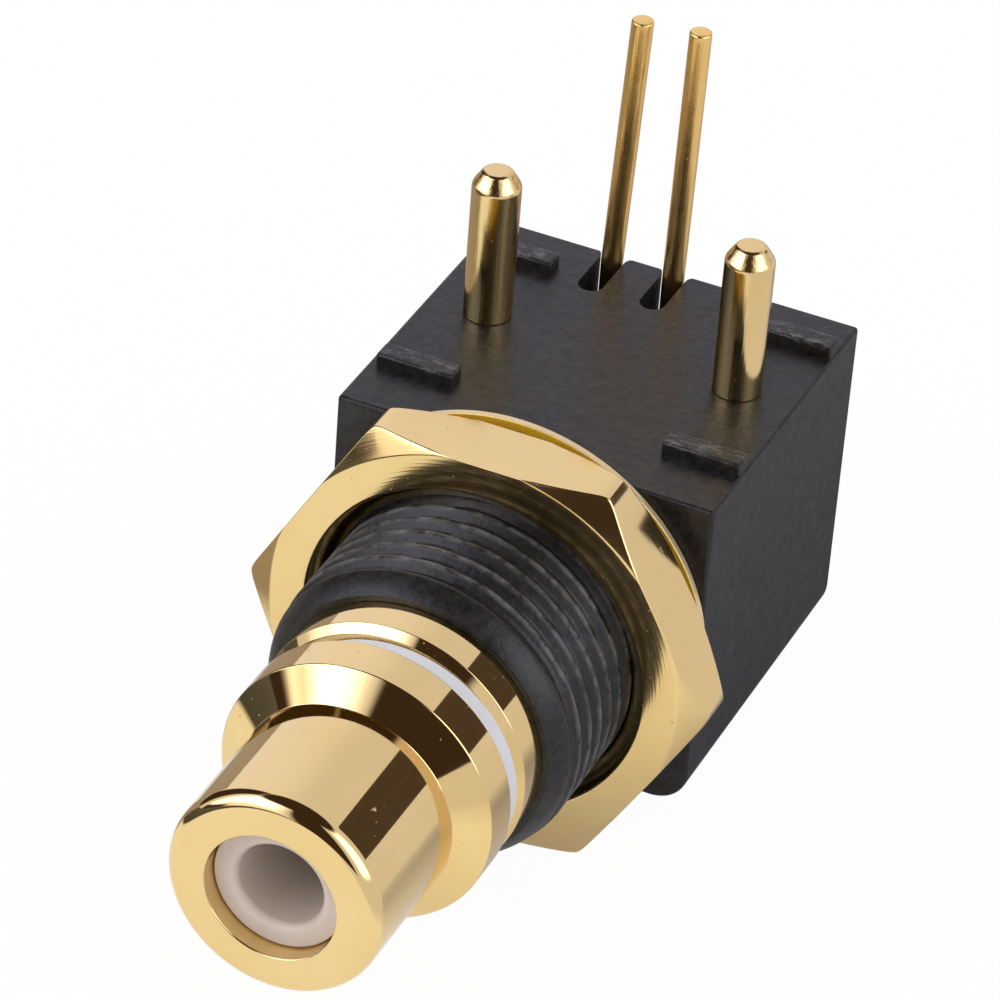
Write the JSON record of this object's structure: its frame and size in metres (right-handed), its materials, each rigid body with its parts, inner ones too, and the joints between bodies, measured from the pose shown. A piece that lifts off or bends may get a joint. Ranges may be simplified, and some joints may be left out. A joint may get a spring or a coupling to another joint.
{
  "type": "rca socket",
  "caption": "Gold-plated RCA socket with a black moulded body, board pins and a threaded nose with nut and washer for a panel.",
  "frame": {"origin": "midway between the two thick pegs, in the plane where the board rests on the stand-offs", "axes": "+Z along the pins, away from the block; -Y out of the socket's mouth; +X to the right, seen from the mouth with the pins up"},
  "size_m": [0.0186, 0.0341, 0.0255],
  "materials": {
    "black_plastic": "black moulded plastic, satin with a fine grain",
    "gold_plate": "polished pale gold plating on brass",
    "white_plastic": "white plastic, smooth",
    "milky_plastic": "milky plastic, slightly see-through"
  },
  "bodies": {
    "socket": {"housing": "black_plastic", "outer_shell": "gold_plate", "colour_ring": "white_plastic", "rear_bush": "gold_plate", "front_insulator": "milky_plastic", "rear_insulator": "milky_plastic", "centre_contact": "gold_plate", "left_peg": "gold_plate", "right_peg": "gold_plate", "signal_tail": "gold_plate", "ground_tail": "gold_plate"},
    "washer": {"washer": "gold_plate"},
    "nut": {"panel_nut": "gold_plate"}
  },
  "joints": [
    {"name": "nut_travel", "type": "slide", "parent": "socket", "child": "washer", "axis": [0, -1, 0], "range_m": [0, 0.005]},
    {"name": "nut_spin", "type": "hinge", "parent": "washer", "child": "nut", "pos_m": [0, -0.01018, -0.007], "axis": [0, -1, 0], "range_deg": [0, 2000]}
  ],
  "couplings": [
    {"joint": "nut_travel", "follows": "nut_spin", "m_per_rad": 0.00014324}
  ]
}
